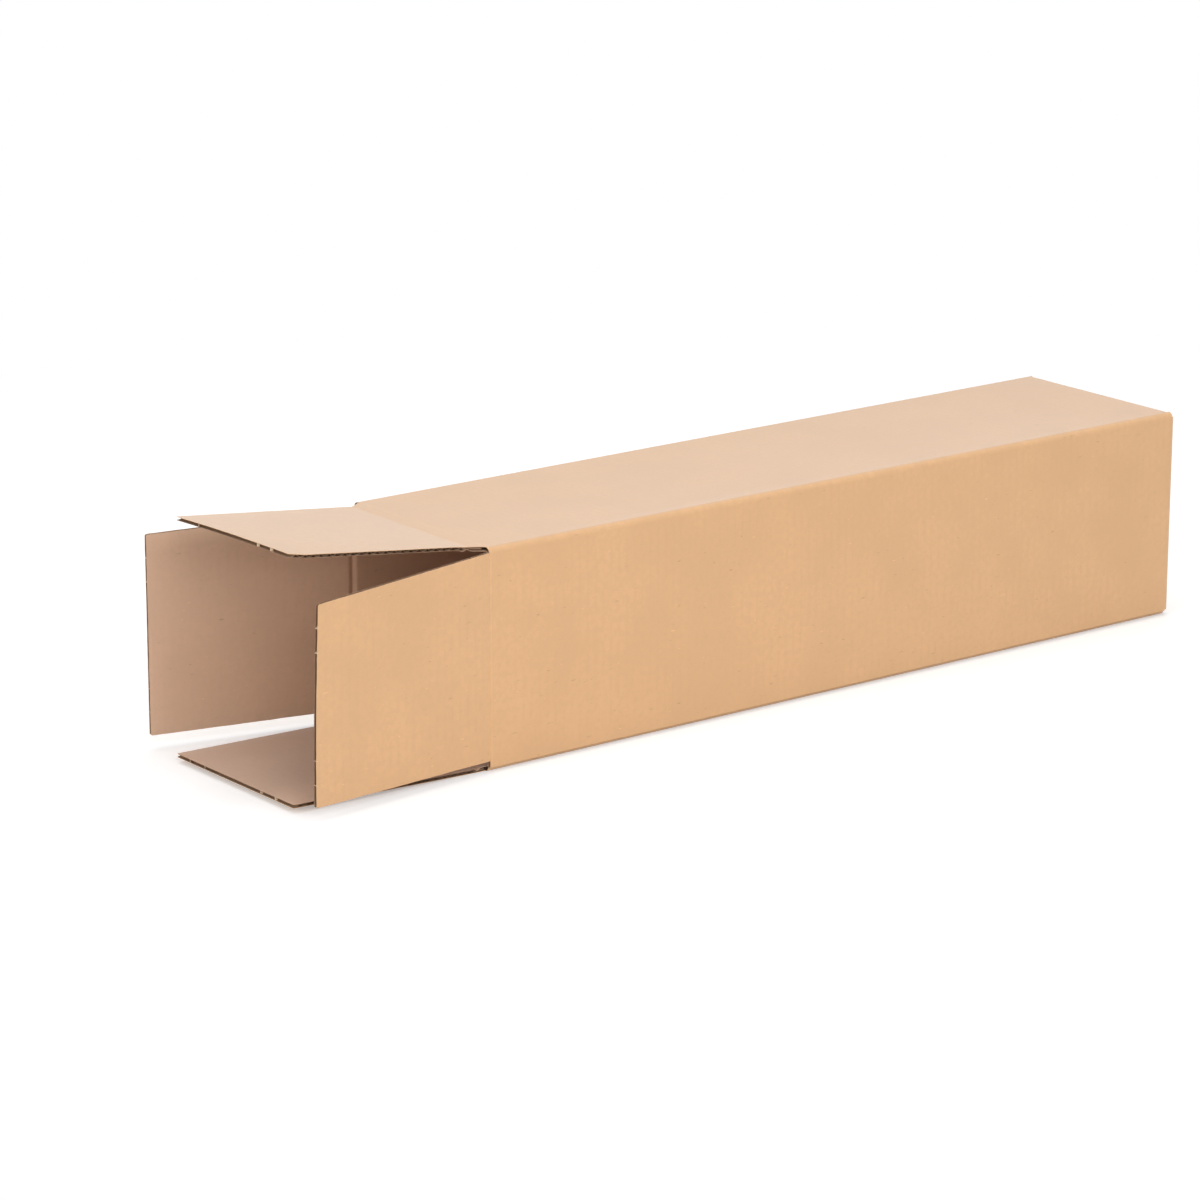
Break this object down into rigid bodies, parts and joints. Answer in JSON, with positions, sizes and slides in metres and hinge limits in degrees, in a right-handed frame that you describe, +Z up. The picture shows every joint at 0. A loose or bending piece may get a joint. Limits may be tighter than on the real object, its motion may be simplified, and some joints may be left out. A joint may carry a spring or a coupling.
{
  "type": "square corrugated mailing tube",
  "caption": "Long square mailing tube of corrugated board, glued shut at one end, with hinged flaps standing open at its mouth.",
  "frame": {"origin": "middle of the bottom panel's outer face, half-way between the mouth's slots and the closed end", "axes": "+X along the tube towards its closed end, +Y towards the back wall, +Z up; the mouth faces -X"},
  "size_m": [0.758, 0.1925, 0.1661],
  "materials": {
    "kraft_board": "plain brown kraft corrugated board, matt, with fine fibres and faint flute lines"
  },
  "bodies": {
    "tube": {"tube": "kraft_board"},
    "top_flap": {"top_flap": "kraft_board"},
    "bottom_flap": {"bottom_flap": "kraft_board"},
    "front_flap": {"front_flap": "kraft_board"},
    "back_flap": {"back_flap": "kraft_board"}
  },
  "joints": [
    {"name": "top_flap_fold", "type": "hinge", "parent": "tube", "child": "top_flap", "pos_m": [-0.3146, 0, 0.15], "axis": [0, -1, 0], "range_deg": [-113.3, 96.7]},
    {"name": "bottom_flap_fold", "type": "hinge", "parent": "tube", "child": "bottom_flap", "pos_m": [-0.3114, 0, 0], "axis": [0, 1, 0], "range_deg": [-121.5, 88.5]},
    {"name": "front_flap_fold", "type": "hinge", "parent": "tube", "child": "front_flap", "pos_m": [-0.305, -0.075, 0.075], "axis": [0, 0, -1], "range_deg": [-114.6, 95.4]},
    {"name": "back_flap_fold", "type": "hinge", "parent": "tube", "child": "back_flap", "pos_m": [-0.3082, 0.075, 0.075], "axis": [0, 0, 1], "range_deg": [-108.5, 101.5]}
  ]
}
